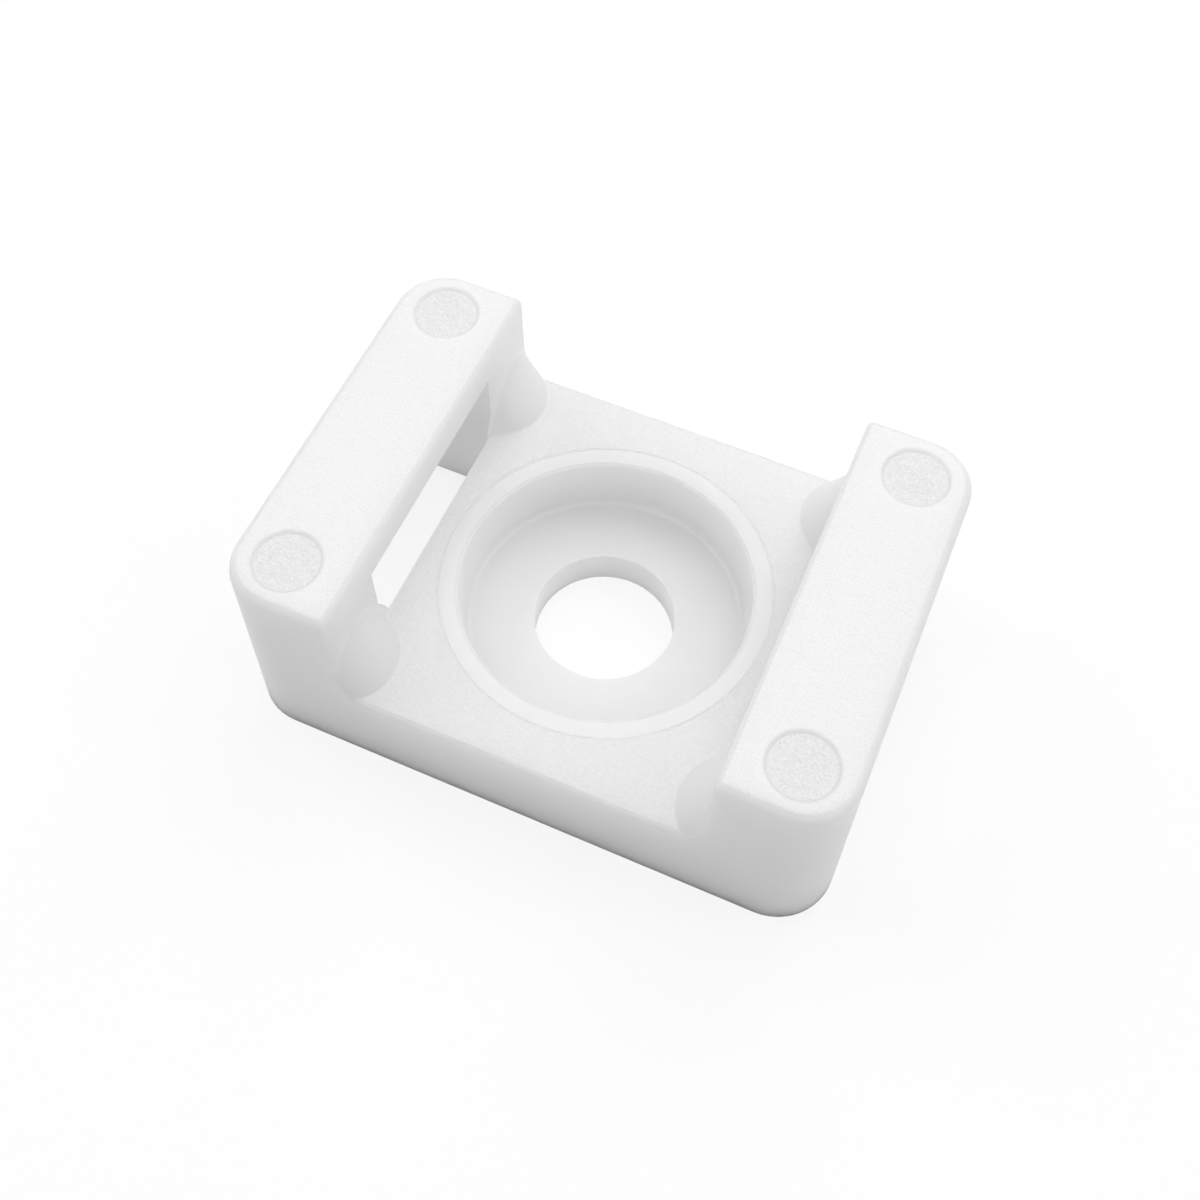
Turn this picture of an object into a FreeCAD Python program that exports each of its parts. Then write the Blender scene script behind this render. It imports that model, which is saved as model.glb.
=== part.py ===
"""Saddle type screw mount for cable ties, moulded in one piece in natural nylon.

The frame has its origin under the middle of the base, +Z up, +X along the length.
A tie passes under either bar, or under both, and a countersunk or pan head screw in the
counterbored middle holds the mount down. All sizes are millimetres.
"""
import FreeCAD, Part
import os
import Sketcher

XY_PLANE = "XY_Plane"
CORNER_SIGNS = [(-1, -1), (1, -1), (1, 1), (-1, 1)]

# Driving dimensions of the moulding: name, size (mm or degrees), what it is.
SIZES = [
    ("overall_length", 22.0, "length over the two arms"),
    ("overall_width", 15.55, "width of base and arms"),
    ("overall_height", 8.1, "height of the bar tops over the underside"),
    ("corner_radius", 2.1, "upright outer corners"),
    ("outer_draft", 1.85, "draft of the outer walls, degrees"),
    ("plate_length", 13.2, "base plate between the two tie slots"),
    ("plate_height", 3.72, "top face of the base plate over the underside"),
    ("slot_length", 8.9, "tie slot, measured along the bar"),
    ("bar_thickness", 1.34, "thickness of the bar over the tie slot"),
    ("flare_overhang", 0.2, "how far the round of a foot would stand past its post's sides"),
    ("flare_reach", 1.36, "how far a foot spreads over the plate"),
    ("flare_slope", 56.0, "slope of a foot above the plate, degrees"),
    ("screw_hole_diameter", 5.2, "clearance hole for the screw"),
    ("floor_thickness", 1.5, "plastic left under the screw head"),
    ("counterbore_diameter", 10.3, "counterbore at its floor"),
    ("counterbore_draft", 2.2, "draft of the counterbore wall, degrees"),
    ("counterbore_cove", 0.35, "radius between wall and floor"),
    ("counterbore_lip", 0.12, "radius of the counterbore's upper edge"),
    ("insert_diameter", 11.96, "witness line left by the round mould insert"),
    ("witness_width", 0.12, "width of that line"),
    ("witness_depth", 0.08, "depth of that line"),
    ("pin_mark_diameter", 2.44, "ejector pin mark"),
    ("pin_mark_depth", 0.1, "depth of an ejector pin mark"),
    ("pin_mark_taper", 55.0, "lean of its little wall, degrees"),
    ("pin_mark_inset", 2.05, "centre of a pin mark from the end of the bar"),
    ("outer_edge_radius", 0.4, "outer top edges of the arms"),
    ("cradle_edge_radius", 0.22, "edges round the cradle: bars, posts, feet and plate"),
    ("foot_blend_radius", 0.5, "hollow where a foot runs up into its post"),
]


class Sizes:
    """The sheet of driving dimensions, read as numbers and named in expressions."""

    def __init__(self, document):
        self.sheet = document.addObject("Spreadsheet::Sheet", "sizes")
        for row, (name, value, note) in enumerate(SIZES, start=1):
            self.sheet.set(f"A{row}", name)
            self.sheet.set(f"B{row}", str(value))
            self.sheet.setAlias(f"B{row}", name)
            self.sheet.set(f"C{row}", note)
        document.recompute()

    def __getattr__(self, name):
        return float(getattr(self.sheet, name))


def origin_plane(body, role):
    return next(item for item in body.Origin.OriginFeatures if item.Role == role)


def new_sketch(body, name, role, height=None):
    """A sketch on one of the body's own origin planes, lifted by an expression."""
    sketch = body.newObject("Sketcher::SketchObject", name)
    sketch.AttachmentSupport = [(origin_plane(body, role), "")]
    sketch.MapMode = "FlatFace"
    if height:
        sketch.setExpression("AttachmentOffset.Base.z", height)
    return sketch


def bind(sketch, kind, places, expression, name):
    """One driving constraint whose value comes from the sheet."""
    index = sketch.addConstraint(Sketcher.Constraint(kind, *places, 1.0))
    sketch.renameConstraint(index, name)
    sketch.setExpression(f"Constraints.{name}", expression)


def draw_outline(sketch, points):
    """A closed outline of straight lines, line n from point n to the next one."""
    count = len(points)
    for index in range(count):
        start = FreeCAD.Vector(*points[index], 0)
        end = FreeCAD.Vector(*points[(index + 1) % count], 0)
        sketch.addGeometry(Part.LineSegment(start, end), False)
    for index in range(count):
        sketch.addConstraint(Sketcher.Constraint("Coincident", index, 2, (index + 1) % count, 1))


def draw_rectangle(sketch, left, right, bottom, top):
    """A rectangle whose four sides stand at expressions, measured from the origin."""
    draw_outline(sketch, [(-1, -1), (1, -1), (1, 1), (-1, 1)])
    for line, kind in enumerate(("Horizontal", "Vertical", "Horizontal", "Vertical")):
        sketch.addConstraint(Sketcher.Constraint(kind, line))
    bind(sketch, "DistanceX", (-1, 1, 0, 1), left, "left")
    bind(sketch, "DistanceX", (-1, 1, 1, 2), right, "right")
    bind(sketch, "DistanceY", (-1, 1, 0, 1), bottom, "bottom")
    bind(sketch, "DistanceY", (-1, 1, 2, 1), top, "top")


def draw_circle(sketch, diameter, centre_x=None, centre_y=None):
    """A circle of bound diameter, at the origin or at two bound distances from it."""
    sketch.addGeometry(Part.Circle(FreeCAD.Vector(1, 1, 0), FreeCAD.Vector(0, 0, 1), 1), False)
    bind(sketch, "Diameter", (0,), diameter, "diameter")
    if centre_x is None:
        sketch.addConstraint(Sketcher.Constraint("Coincident", 0, 3, -1, 1))
        return
    bind(sketch, "DistanceX", (-1, 1, 0, 3), centre_x, "centre_x")
    bind(sketch, "DistanceY", (-1, 1, 0, 3), centre_y, "centre_y")


def signed(sign, expression):
    return expression if sign > 0 else f"-({expression})"


def pad(body, sketch, name, length):
    feature = body.newObject("PartDesign::Pad", name)
    feature.Profile = sketch
    feature.setExpression("Length", length)
    return feature


def pocket(body, sketch, name, length, upwards=False):
    """A pocket to a bound depth, cutting down from its sketch or up from it."""
    feature = body.newObject("PartDesign::Pocket", name)
    feature.Profile = sketch
    feature.setExpression("Length", length)
    feature.Reversed = upwards
    return feature


def fillet(body, base, name, edges, radius):
    feature = body.newObject("PartDesign::Fillet", name)
    feature.Base = (base, edges)
    feature.setExpression("Radius", radius)
    return feature


def draft(body, base, name, faces, angle):
    """Leans faces in towards the top, about their outline in the XY plane."""
    feature = body.newObject("PartDesign::Draft", name)
    feature.Base = (base, faces)
    feature.NeutralPlane = (origin_plane(body, XY_PLANE), [""])
    feature.Reversed = False
    feature.setExpression("Angle", angle)
    return feature


def side_faces(shape):
    """Names of the faces that stand upright."""
    names = []
    for number, face in enumerate(shape.Faces, start=1):
        low, high, left, right = face.ParameterRange
        normal = face.normalAt((low + high) / 2, (left + right) / 2)
        if abs(normal.z) < 1e-3:
            names.append(f"Face{number}")
    return names


def edges_where(shape, test):
    """Names of the edges whose middle point and straight or round run pass a test."""
    names = []
    for number, edge in enumerate(shape.Edges, start=1):
        middle = edge.valueAt((edge.FirstParameter + edge.LastParameter) / 2)
        if test(edge, middle):
            names.append(f"Edge{number}")
    return names


def is_straight(edge):
    return isinstance(edge.Curve, Part.Line)


def upright(edge):
    ends = [vertex.Point for vertex in edge.Vertexes]
    return len(ends) == 2 and abs(ends[0].z - ends[1].z) > 0.9 * edge.Length


def at_height(edge, height):
    return all(abs(vertex.Point.z - height) < 1e-4 for vertex in edge.Vertexes)


def build_envelope(body, sizes):
    """The drafted outer block with its large upright corners and rounded top rim."""
    footprint = new_sketch(body, "footprint", XY_PLANE)
    draw_rectangle(
        footprint,
        "-sizes.overall_length / 2", "sizes.overall_length / 2",
        "-sizes.overall_width / 2", "sizes.overall_width / 2")
    block = pad(body, footprint, "block", "sizes.overall_height")
    body.Document.recompute()
    corners = edges_where(block.Shape, lambda edge, middle: upright(edge))
    rounded = fillet(body, block, "upright_corners", corners, "sizes.corner_radius")
    body.Document.recompute()
    drafted = draft(body, rounded, "outer_walls", side_faces(rounded.Shape), "sizes.outer_draft")
    body.Document.recompute()
    top = edges_where(
        drafted.Shape, lambda edge, middle: at_height(edge, sizes.overall_height))
    fillet(body, drafted, "top_rim", top, "sizes.outer_edge_radius")


def build_cradle_core(document, sizes):
    """The mould core that leaves the cradle between the arms.

    It is a plain bar across the mount, relieved at its four lower corners by leaning
    round pockets: what they leave standing on the plate are the flared feet of the posts.
    The arch that such a pocket cuts into the side of the bar is rounded, so that the foot
    runs up into its post with no edge.
    """
    core = document.addObject("PartDesign::Body", "cradle_core")
    section = new_sketch(core, "cradle_section", XY_PLANE, "sizes.plate_height")
    draw_rectangle(
        section,
        "-sizes.plate_length / 2", "sizes.plate_length / 2",
        "-sizes.overall_width", "sizes.overall_width")
    pad(core, section, "cradle_bar", "sizes.overall_height")
    post_y = "(sizes.slot_length + sizes.overall_width) / 4"
    foot_radius = "((sizes.overall_width - sizes.slot_length) / 4 + sizes.flare_overhang)"
    foot_x = f"sizes.plate_length / 2 - sizes.flare_reach + {foot_radius}"
    relief_run = "2 * sizes.flare_reach / cos(sizes.flare_slope * 1 deg)"
    for number, (side_x, side_y) in enumerate(CORNER_SIGNS, start=1):
        outline = new_sketch(core, f"foot_{number}_outline", XY_PLANE, "sizes.plate_height")
        draw_circle(
            outline, f"2 * {foot_radius}", signed(side_x, foot_x), signed(side_y, post_y))
        foot = pocket(
            core, outline, f"foot_{number}_relief", relief_run, upwards=True)
        foot.UseCustomVector = True
        foot.setExpression("Direction.x", f"{-side_x} * cos(sizes.flare_slope * 1 deg)")
        foot.setExpression("Direction.y", "0")
        foot.setExpression("Direction.z", "-sin(sizes.flare_slope * 1 deg)")
    document.recompute()
    arches = edges_where(foot.Shape, lambda edge, middle: (
        abs(abs(middle.x) - sizes.plate_length / 2) < 1e-3 and not is_straight(edge)))
    fillet(core, foot, "foot_blends", arches, "sizes.foot_blend_radius")
    return core


def on_skin(shape, point):
    return Part.Vertex(point).distToShape(shape.Shells[0])[0] < 1e-3


def cut_cradle(body, sizes):
    """Takes the core out of the block and rounds the edges that it leaves on the outside."""
    block, core = body.Tip, build_cradle_core(body.Document, sizes)
    cradle = body.newObject("PartDesign::Boolean", "cradle")
    cradle.Type = "Cut"
    cradle.addObject(core)
    body.Document.recompute()
    outline = edges_where(cradle.Shape, lambda edge, middle: (
        on_skin(block.Shape, middle) and on_skin(core.Shape, middle)))
    fillet(body, cradle, "cradle_edges", outline, "sizes.cradle_edge_radius")


def cut_tie_slots(body):
    """The open space under each bar: down through the base and out of the end."""
    for side, name in ((-1, "left_tie_slot"), (1, "right_tie_slot")):
        outline = new_sketch(body, f"{name}_outline", XY_PLANE)
        inner, outer = "sizes.plate_length / 2", "sizes.overall_length"
        left, right = (inner, outer) if side > 0 else (f"-{outer}", f"-{inner}")
        draw_rectangle(outline, left, right, "-sizes.slot_length / 2", "sizes.slot_length / 2")
        pocket(
            body, outline, name, "sizes.overall_height - sizes.bar_thickness", upwards=True)


def cut_screw_seat(body, sizes):
    """Counterbore with drafted wall, cove and lip, and the screw hole in its floor."""
    floor = new_sketch(body, "counterbore_floor", XY_PLANE, "sizes.floor_thickness")
    draw_circle(floor, "sizes.counterbore_diameter")
    depth = "sizes.plate_height - sizes.floor_thickness"
    counterbore = pocket(body, floor, "counterbore", depth, upwards=True)
    counterbore.setExpression("TaperAngle", "sizes.counterbore_draft")
    body.Document.recompute()

    def round_edges_at(feature, height):
        return edges_where(feature.Shape, lambda edge, middle: (
            at_height(edge, height) and isinstance(edge.Curve, Part.Circle)
            and edge.Curve.Center.sub(FreeCAD.Vector(0, 0, height)).Length < 1e-4))

    cove_edges = round_edges_at(counterbore, sizes.floor_thickness)
    cove = fillet(body, counterbore, "counterbore_cove", cove_edges, "sizes.counterbore_cove")
    body.Document.recompute()
    lip_edges = round_edges_at(cove, sizes.plate_height)
    fillet(body, cove, "counterbore_lip", lip_edges, "sizes.counterbore_lip")
    hole = new_sketch(body, "screw_hole_outline", XY_PLANE)
    draw_circle(hole, "sizes.screw_hole_diameter")
    pocket(body, hole, "screw_hole", "sizes.plate_height", upwards=True)


def cut_witness_line(body):
    """The fine line round the counterbore where the round mould insert meets the mould."""
    ring = new_sketch(body, "witness_ring", XY_PLANE, "sizes.plate_height")
    for side, name in ((-1, "inner"), (1, "outer")):
        circle = Part.Circle(FreeCAD.Vector(0, 0, 0), FreeCAD.Vector(0, 0, 1), 2 + side)
        index = ring.addGeometry(circle, False)
        ring.addConstraint(Sketcher.Constraint("Coincident", index, 3, -1, 1))
        bind(
            ring, "Diameter", (index,),
            f"sizes.insert_diameter + {side} * sizes.witness_width", name)
    pocket(body, ring, "witness_line", "sizes.witness_depth")


def cut_pin_marks(body):
    """The four shallow round marks of the ejector pins, near the ends of the bars."""
    mark_x = "(sizes.overall_length + sizes.plate_length) / 4"
    mark_y = "sizes.overall_width / 2 - sizes.pin_mark_inset"
    for number, (side_x, side_y) in enumerate(CORNER_SIGNS, start=1):
        disc = new_sketch(body, f"pin_mark_{number}_outline", XY_PLANE, "sizes.overall_height")
        draw_circle(
            disc, "sizes.pin_mark_diameter", signed(side_x, mark_x), signed(side_y, mark_y))
        mark = pocket(body, disc, f"pin_mark_{number}", "sizes.pin_mark_depth")
        mark.setExpression("TaperAngle", "-sizes.pin_mark_taper")


def build_mount(document, sizes):
    body = document.addObject("PartDesign::Body", "cable_tie_mount")
    body.Label = "cable_tie_mount"
    build_envelope(body, sizes)
    cut_cradle(body, sizes)
    cut_tie_slots(body)
    cut_screw_seat(body, sizes)
    cut_witness_line(body)
    cut_pin_marks(body)
    return body


def check_and_write(document, bodies):
    for item in document.Objects:
        if "Invalid" in item.State or "Error" in item.State:
            raise RuntimeError(f"{item.Name} is in state {item.State}")
    os.makedirs("parts", exist_ok=True)
    for body in bodies:
        if body.Shape.isNull() or not body.Shape.isValid():
            raise RuntimeError(f"{body.Label} has no valid shape")
        body.Shape.exportStep(f"parts/{body.Label}.step")


def main():
    document = FreeCAD.newDocument("cable_tie_mount_model")
    sizes = Sizes(document)
    mount = build_mount(document, sizes)
    document.recompute()
    check_and_write(document, [mount])


main()
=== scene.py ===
"""Studio picture of a natural nylon cable tie mount that stands on a pale floor.

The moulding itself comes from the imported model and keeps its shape. This script gives it
the finish of milky nylon, a floor, soft light and the camera of the photograph. Lengths
are in metres in the model's frame: origin under the screw hole, +X along the length, +Z up.
"""
import bpy
import math
import types
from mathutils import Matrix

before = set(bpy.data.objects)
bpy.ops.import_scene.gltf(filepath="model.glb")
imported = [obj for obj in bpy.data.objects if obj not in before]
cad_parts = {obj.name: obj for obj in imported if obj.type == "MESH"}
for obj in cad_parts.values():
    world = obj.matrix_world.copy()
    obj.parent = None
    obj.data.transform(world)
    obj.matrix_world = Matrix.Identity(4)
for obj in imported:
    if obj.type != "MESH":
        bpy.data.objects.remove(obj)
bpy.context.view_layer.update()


MM = 0.001

# Places on the moulding that its finish follows: heights, then radii and distances from the
# middle. SLOT_SIDE is the side of a tie slot that faces the middle, and PIN_LINE is the width
# of the line of painted shade just inside the rim of a pin mark.
BAR_TOP = 8.10 * MM
BAR_UNDERSIDE = 6.70 * MM
FOOT_TOP = 6.30 * MM
PLATE_TOP = 3.72 * MM
SEAT_TOP = 1.50 * MM
HOLE_RADIUS = 2.62 * MM
RING_INNER = 5.36 * MM
RING_OUTER = 5.94 * MM
SLOT_END = 4.50 * MM
SLOT_SIDE = 6.50 * MM
PIN_X = 8.8 * MM
PIN_Y = 5.725 * MM
PIN_RADIUS = 1.22 * MM
PIN_LINE = 0.12 * MM

# How far below the bar top its finish starts and is complete, and how far above the plate
# and below its own top the painted shade of a foot fades. ZONE_EDGE is the reach of plate and
# seat above and below their flat, and the width of the soft edge of hole and slot.
TOP_START = 0.40 * MM
TOP_FULL = 0.15 * MM
FOOT_START = 0.05 * MM
FOOT_FADE = 0.50 * MM
ZONE_EDGE = 0.10 * MM

# Upward part of the surface normal where a face starts and where it fully counts as leaning,
# and the same for level.
LEAN_START = 0.05
LEAN_FULL = 0.45
LEVEL_START = 0.85
LEVEL_FULL = 0.98

# Brightness of the nylon on the walls and in each zone, and the swing that the cloud gives it.
# It follows the photograph, so part of the spread stands in for light that the lamps lack: the
# darker plate, seat, feet and pin line are painted shade.
WALL_SHADE = 0.965
BAR_SHADE = 0.970
PIN_SHADE = 0.870
PIN_LINE_PAINTED_SHADE = 0.840
PLATE_PAINTED_SHADE = 0.880
RING_SHADE = 0.985
SEAT_PAINTED_SHADE = 0.870
FOOT_PAINTED_SHADE = 0.860
CLOUD_SHADE = 0.03

# Swing of brightness from grain to grain: on bars and plate, and what bars and pin marks add.
GRAIN_SPECKLE = 0.16
BAR_SPECKLE = 0.08
PIN_SPECKLE = 0.06

# Noises: width of a lump, detail, roughness. The peel is the wider waviness in the grain, and
# the cloud the broad unevenness of colour and shine. NOISE_MIDDLE is the mean of a noise.
GRAIN = (0.075 * MM, 2.0, 0.55)
PEEL = (0.30 * MM, 2.0, 0.50)
CLOUD = (1.60 * MM, 3.0, 0.55)
NOISE_MIDDLE = 0.5

# Depth of the relief on the walls, and what bars, pin marks and plate add to it. The peel's
# height is in parts of the grain's.
WALL_DEPTH = 0.001 * MM
BAR_DEPTH = 0.018 * MM
PIN_DEPTH = 0.022 * MM
PLATE_DEPTH = 0.010 * MM
PEEL_HEIGHT = 1.5

# Shine: roughness of the walls, what grain, ring and cloud add to it, index of refraction and
# strength.
WALL_ROUGHNESS = 0.38
GRAIN_ROUGHNESS = 0.14
RING_ROUGHNESS = -0.06
CLOUD_ROUGHNESS = 0.05
NYLON_INDEX = 1.53
SHINE_LEVEL = 0.45

# Milkiness: how far light travels inside, the share of it that enters the walls, and what
# grain, pin marks and the walls of hole and slots add to that share.
LIGHT_TRAVEL = 3.0 * MM
WALL_MILK = 1.0
GRAIN_MILK = -0.4
PIN_MILK = -0.3
OPENING_MILK = -0.7

# Floor: radius and number of corners, the grey that it throws back, the share of its white
# that a shadow can take away, the distances from the mount's middle where that share starts
# to fade and ends, and how bright the lamps make a white floor that nothing shades.
FLOOR_RADIUS = 0.5
FLOOR_CORNERS = 96
FLOOR_BOUNCE = 0.85
SHADOW_SHARE = 0.3
SHADOW_FADE = 0.05
SHADOW_END = 0.20
FLOOR_LIGHT = 0.93

# Faint light of the room, and the softboxes round and above the mount: bearing in degrees
# from +X, height in degrees, power. The camera looks in from the front.
ROOM_LIGHT = 0.02
BOX_DISTANCE = 0.35
BOX_SIZE = 0.30
SOFTBOXES = {
    "top_panel": (90, 89, 0.25),
    "back_panel": (90, 42, 0.33),
    "back_right_panel": (50, 40, 0.22),
    "back_left_panel": (130, 40, 0.10),
    "left_panel": (180, 37, 0.44),
    "right_panel": (0, 38, 0.27),
    "front_panel": (270, 68, 0.26),
}

# Camera: place, turns in degrees, lens and sensor in millimetres, nearest and farthest sight.
CAMERA_PLACE = (9.444 * MM, -23.981 * MM, 47.320 * MM)
CAMERA_TURNS = (29.990, -0.891, 23.466)
CAMERA_LENS = 42.76
CAMERA_SENSOR = 36.0
CAMERA_NEAR = 1 * MM
CAMERA_FAR = 10.0


class Nodes:
    """Nodes of one material or world, with short calls that return output sockets."""

    def __init__(self, tree):
        self.tree = tree
        tree.nodes.clear()

    def add(self, kind, inputs=(), **settings):
        """Outputs of a new node. Its inputs, numbers or sockets, go in by order or by name."""
        node = self.tree.nodes.new(kind)
        for name, value in settings.items():
            setattr(node, name, value)
        pairs = inputs.items() if isinstance(inputs, dict) else enumerate(inputs)
        for key, value in pairs:
            if isinstance(value, bpy.types.NodeSocket):
                self.tree.links.new(value, node.inputs[key])
            else:
                node.inputs[key].default_value = value
        return node.outputs

    def math(self, operation, *values):
        return self.add("ShaderNodeMath", values, operation=operation)[0]

    def times(self, first, second):
        return self.math("MULTIPLY", first, second)

    def minus(self, first, second):
        return self.math("SUBTRACT", first, second)

    def near(self, value, middle, reach):
        """1 where value is within reach of middle, and 0 elsewhere."""
        return self.math("COMPARE", value, middle, reach)

    def layers(self, base, *parts):
        """Base plus each part, which is a mask and the amount that it brings where it is 1."""
        for mask, amount in parts:
            base = self.math("ADD", base, self.times(mask, amount))
        return base

    def ramp(self, value, low, high):
        """Smooth step from 0 at low to 1 at high. It falls where low is the larger number."""
        inputs = (value, low, high)
        return self.add("ShaderNodeMapRange", inputs, interpolation_type="SMOOTHSTEP")[0]

    def split(self, vector):
        """The x, y and z of a vector."""
        return list(self.add("ShaderNodeSeparateXYZ", (vector,)))

    def reach(self, first, second):
        """Length of the flat vector (first, second)."""
        squares = self.math("ADD", self.times(first, first), self.times(second, second))
        return self.math("SQRT", squares)

    def noise(self, place, width, detail, roughness):
        """Noise from 0 to 1 whose lumps are about width metres across."""
        inputs = {
            "Vector": place,
            "Scale": 1.0 / width,
            "Detail": detail,
            "Roughness": roughness,
        }
        return self.add("ShaderNodeTexNoise", inputs)[0]


def grey(level):
    """An opaque grey, from black at 0 to white at 1."""
    return (level, level, level, 1.0)


def new_material(name):
    """A material and the nodes that fill it."""
    material = bpy.data.materials.new(name)
    material.use_nodes = True
    return material, Nodes(material.node_tree)


def looked_at(n):
    """1 for rays that show a surface to the camera, straight or through a shine or glass."""
    path = n.add("ShaderNodeLightPath")
    seen = n.math("MAXIMUM", path["Is Camera Ray"], path["Is Glossy Ray"])
    return n.math("MAXIMUM", seen, path["Is Transmission Ray"])


def zones(n, place):
    """Masks of the moulding's zones, 1 inside and 0 outside."""
    x, y, z = n.split(place)
    along = n.math("ABSOLUTE", x)
    across = n.math("ABSOLUTE", y)
    off_axis = n.reach(x, y)

    upwards = n.split(n.add("ShaderNodeTexCoord")["Normal"])[2]
    level = n.ramp(upwards, LEVEL_START, LEVEL_FULL)
    not_level = n.ramp(upwards, LEVEL_FULL, LEVEL_START)
    leaning = n.times(n.ramp(upwards, LEAN_START, LEAN_FULL), not_level)

    near_top = n.ramp(z, BAR_TOP - TOP_START, BAR_TOP - TOP_FULL)
    bar = n.times(level, near_top)
    plate = n.times(level, n.near(z, PLATE_TOP, ZONE_EDGE))
    ring_middle = (RING_OUTER + RING_INNER) / 2
    ring_half = (RING_OUTER - RING_INNER) / 2
    ring = n.times(plate, n.near(off_axis, ring_middle, ring_half))

    above_plate = n.ramp(z, PLATE_TOP, PLATE_TOP + FOOT_START)
    below_foot_top = n.ramp(z, FOOT_TOP, FOOT_TOP - FOOT_FADE)

    off_pin = n.reach(n.minus(along, PIN_X), n.minus(across, PIN_Y))
    off_line = n.math("ABSOLUTE", n.minus(off_pin, PIN_RADIUS - PIN_LINE / 2))

    in_hole = n.ramp(off_axis, HOLE_RADIUS + ZONE_EDGE, HOLE_RADIUS)
    between_posts = n.ramp(across, SLOT_END + ZONE_EDGE, SLOT_END)
    beyond_plate = n.ramp(along, SLOT_SIDE - ZONE_EDGE, SLOT_SIDE)
    under_bar = n.ramp(z, BAR_UNDERSIDE, BAR_UNDERSIDE - ZONE_EDGE)
    in_slot = n.times(n.times(between_posts, beyond_plate), under_bar)

    return types.SimpleNamespace(
        bar=bar,
        plate=plate,
        ring=ring,
        grain=n.minus(n.math("ADD", bar, plate), ring),
        grained_plate=n.minus(plate, ring),
        seat=n.times(level, n.near(z, SEAT_TOP, ZONE_EDGE)),
        foot=n.times(leaning, n.times(above_plate, below_foot_top)),
        pin=n.times(near_top, n.ramp(off_pin, PIN_RADIUS, PIN_RADIUS - PIN_LINE)),
        painted_pin_line=n.times(near_top, n.ramp(off_line, PIN_LINE, 0.0)),
        opening=n.math("ADD", in_hole, in_slot))


def nylon():
    """Natural nylon: milky and translucent, with fine grain on bar tops, plate and pin marks."""
    material, n = new_material("natural_nylon")
    place = n.add("ShaderNodeTexCoord")["Object"]
    on = zones(n, place)
    grain = n.noise(place, *GRAIN)
    peel = n.noise(place, *PEEL)
    cloud = n.noise(place, *CLOUD)

    speckle = n.layers(
        n.times(on.grain, GRAIN_SPECKLE),
        (on.bar, BAR_SPECKLE),
        (on.pin, PIN_SPECKLE))
    shade = n.layers(
        WALL_SHADE,
        (on.bar, BAR_SHADE - WALL_SHADE),
        (on.pin, PIN_SHADE - BAR_SHADE),
        # painted shade: the plate darkened in the cradle between the bars
        (on.plate, PLATE_PAINTED_SHADE - WALL_SHADE),
        # painted shade: the seat darkened down in the counterbore
        (on.seat, SEAT_PAINTED_SHADE - WALL_SHADE),
        (on.ring, RING_SHADE - PLATE_PAINTED_SHADE),
        # painted shade: a dark line in the groove at a pin mark's rim
        (on.painted_pin_line, PIN_LINE_PAINTED_SHADE - BAR_SHADE),
        # painted shade: the feet darkened in the corners where the posts meet the plate
        (on.foot, FOOT_PAINTED_SHADE - WALL_SHADE),
        (speckle, n.minus(grain, NOISE_MIDDLE)),
        (n.minus(cloud, NOISE_MIDDLE), CLOUD_SHADE))
    depth = n.layers(
        WALL_DEPTH,
        (on.bar, BAR_DEPTH),
        (on.pin, PIN_DEPTH),
        (on.grained_plate, PLATE_DEPTH))
    relief = n.times(n.layers(grain, (peel, PEEL_HEIGHT)), depth)
    roughness = n.layers(
        WALL_ROUGHNESS,
        (on.grain, GRAIN_ROUGHNESS),
        (on.ring, RING_ROUGHNESS),
        (cloud, CLOUD_ROUGHNESS))
    milk = n.layers(
        WALL_MILK,
        (on.grain, GRAIN_MILK),
        (on.pin, PIN_MILK),
        (on.opening, OPENING_MILK))

    bump = n.add("ShaderNodeBump", {"Strength": 1.0, "Distance": 1.0, "Height": relief})[0]
    shader = n.add("ShaderNodeBsdfPrincipled", {
        "Base Color": n.add("ShaderNodeCombineColor", (shade, shade, shade))[0],
        "Roughness": roughness,
        "IOR": NYLON_INDEX,
        "Specular IOR Level": SHINE_LEVEL,
        "Subsurface Weight": milk,
        "Subsurface Radius": (1.0, 1.0, 1.0),
        "Subsurface Scale": LIGHT_TRAVEL,
        "Normal": bump,
    })[0]
    n.add("ShaderNodeOutputMaterial", {"Surface": shader})
    return material


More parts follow.
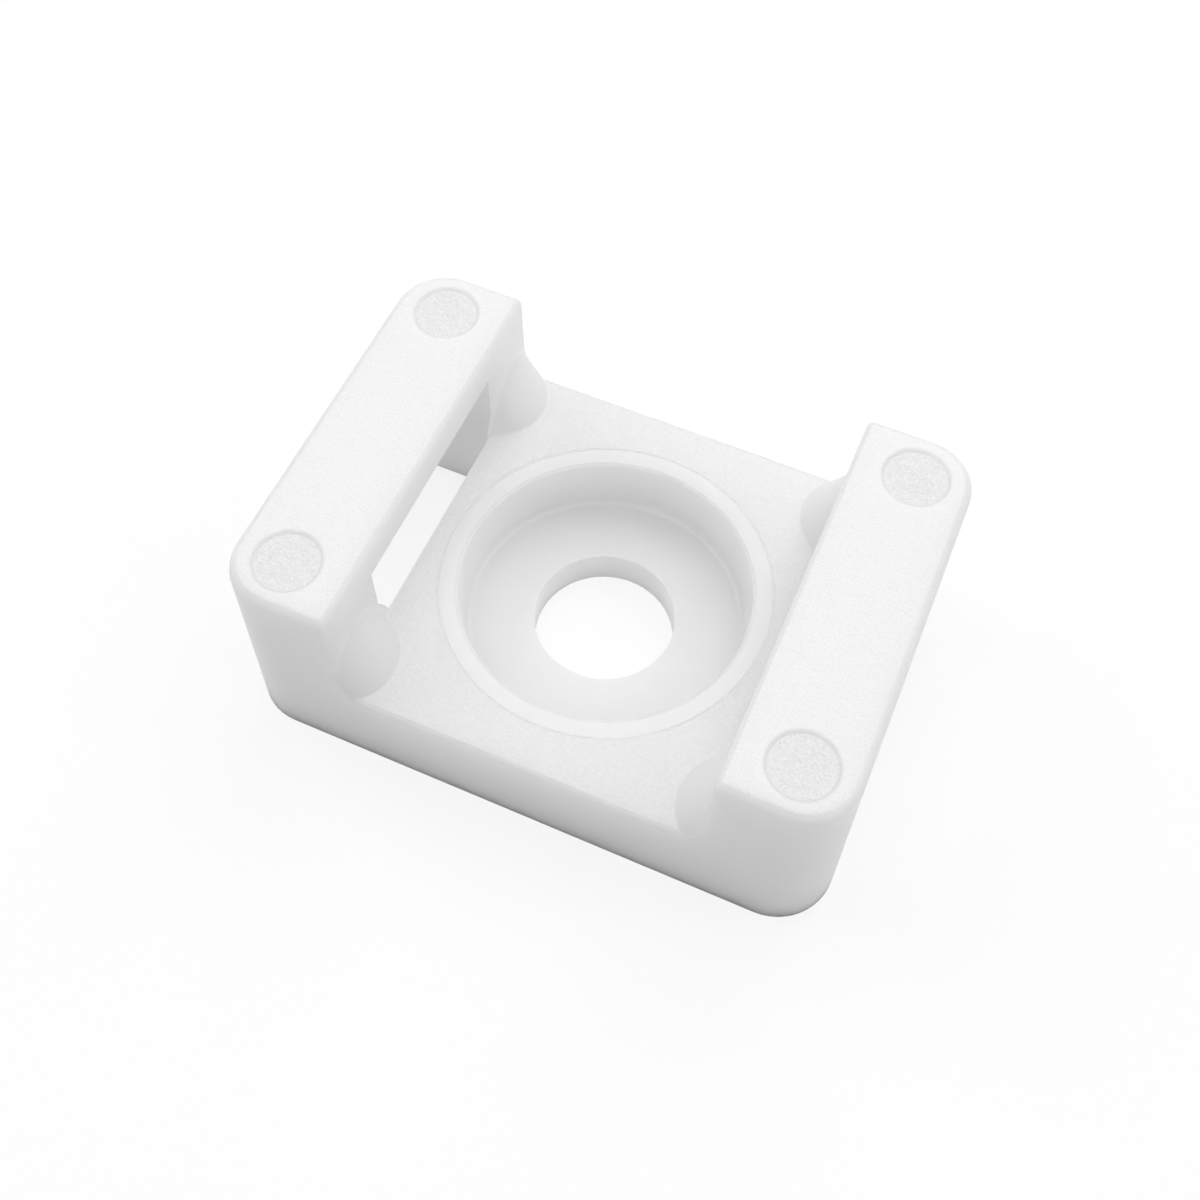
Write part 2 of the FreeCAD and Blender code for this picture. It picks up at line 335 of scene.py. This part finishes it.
def floor_paint():
    """Pale matt floor: white to the camera but for the shadow near the mount."""
    material, n = new_material("pale_floor")
    x, y, _ = n.split(n.add("ShaderNodeTexCoord")["Object"])
    share = n.times(SHADOW_SHARE, n.ramp(n.reach(x, y), SHADOW_END, SHADOW_FADE))
    bounce = n.add("ShaderNodeBsdfDiffuse", {"Color": grey(FLOOR_BOUNCE)})[0]
    shaded = n.add("ShaderNodeBsdfDiffuse", {"Color": share})[0]
    rest_of_white = n.minus(1.0, n.times(share, FLOOR_LIGHT))
    white = n.add("ShaderNodeEmission", {"Strength": rest_of_white})[0]
    shown = n.add("ShaderNodeAddShader", (shaded, white))[0]
    surface = n.add("ShaderNodeMixShader", (looked_at(n), bounce, shown))[0]
    n.add("ShaderNodeOutputMaterial", {"Surface": surface})
    return material


def make_floor():
    bpy.ops.object.select_all(action="DESELECT")
    bpy.ops.mesh.primitive_circle_add(
        vertices=FLOOR_CORNERS, radius=FLOOR_RADIUS, fill_type="NGON")
    floor = bpy.context.object
    floor.name = "floor"
    floor.data.materials.append(floor_paint())


def make_world():
    """White to the camera, and a faint light to everything else."""
    world = bpy.data.worlds.new("studio")
    bpy.context.scene.world = world
    world.use_nodes = True
    n = Nodes(world.node_tree)
    strength = n.math("MAXIMUM", looked_at(n), ROOM_LIGHT)
    background = n.add("ShaderNodeBackground", {"Color": grey(1.0), "Strength": strength})[0]
    n.add("ShaderNodeOutputWorld", {"Surface": background})


def make_softbox(name, bearing, height, power):
    """A square area lamp that looks at the mount from a bearing and a height in degrees."""
    lamp = bpy.data.lights.new(name, "AREA")
    lamp.size = BOX_SIZE
    lamp.energy = power
    box = bpy.data.objects.new(name, lamp)
    bpy.context.scene.collection.objects.link(box)
    turn = math.radians(bearing)
    rise = math.radians(height)
    outwards = BOX_DISTANCE * math.cos(rise)
    box.location = (
        outwards * math.cos(turn), outwards * math.sin(turn), BOX_DISTANCE * math.sin(rise))
    box.rotation_euler = (math.pi / 2 - rise, 0, turn + math.pi / 2)


def make_camera():
    camera = bpy.data.cameras.new("camera")
    camera.sensor_width = CAMERA_SENSOR
    camera.lens = CAMERA_LENS
    camera.clip_start = CAMERA_NEAR
    camera.clip_end = CAMERA_FAR
    holder = bpy.data.objects.new("camera", camera)
    bpy.context.scene.collection.objects.link(holder)
    holder.location = CAMERA_PLACE
    holder.rotation_euler = [math.radians(turn) for turn in CAMERA_TURNS]
    bpy.context.scene.camera = holder


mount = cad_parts["cable_tie_mount"]
finish = nylon()
for slot in mount.material_slots:
    slot.material = finish
make_floor()
make_world()
for name, (bearing, height, power) in SOFTBOXES.items():
    make_softbox(name, bearing, height, power)
make_camera()
bpy.context.scene.view_settings.view_transform = "Standard"
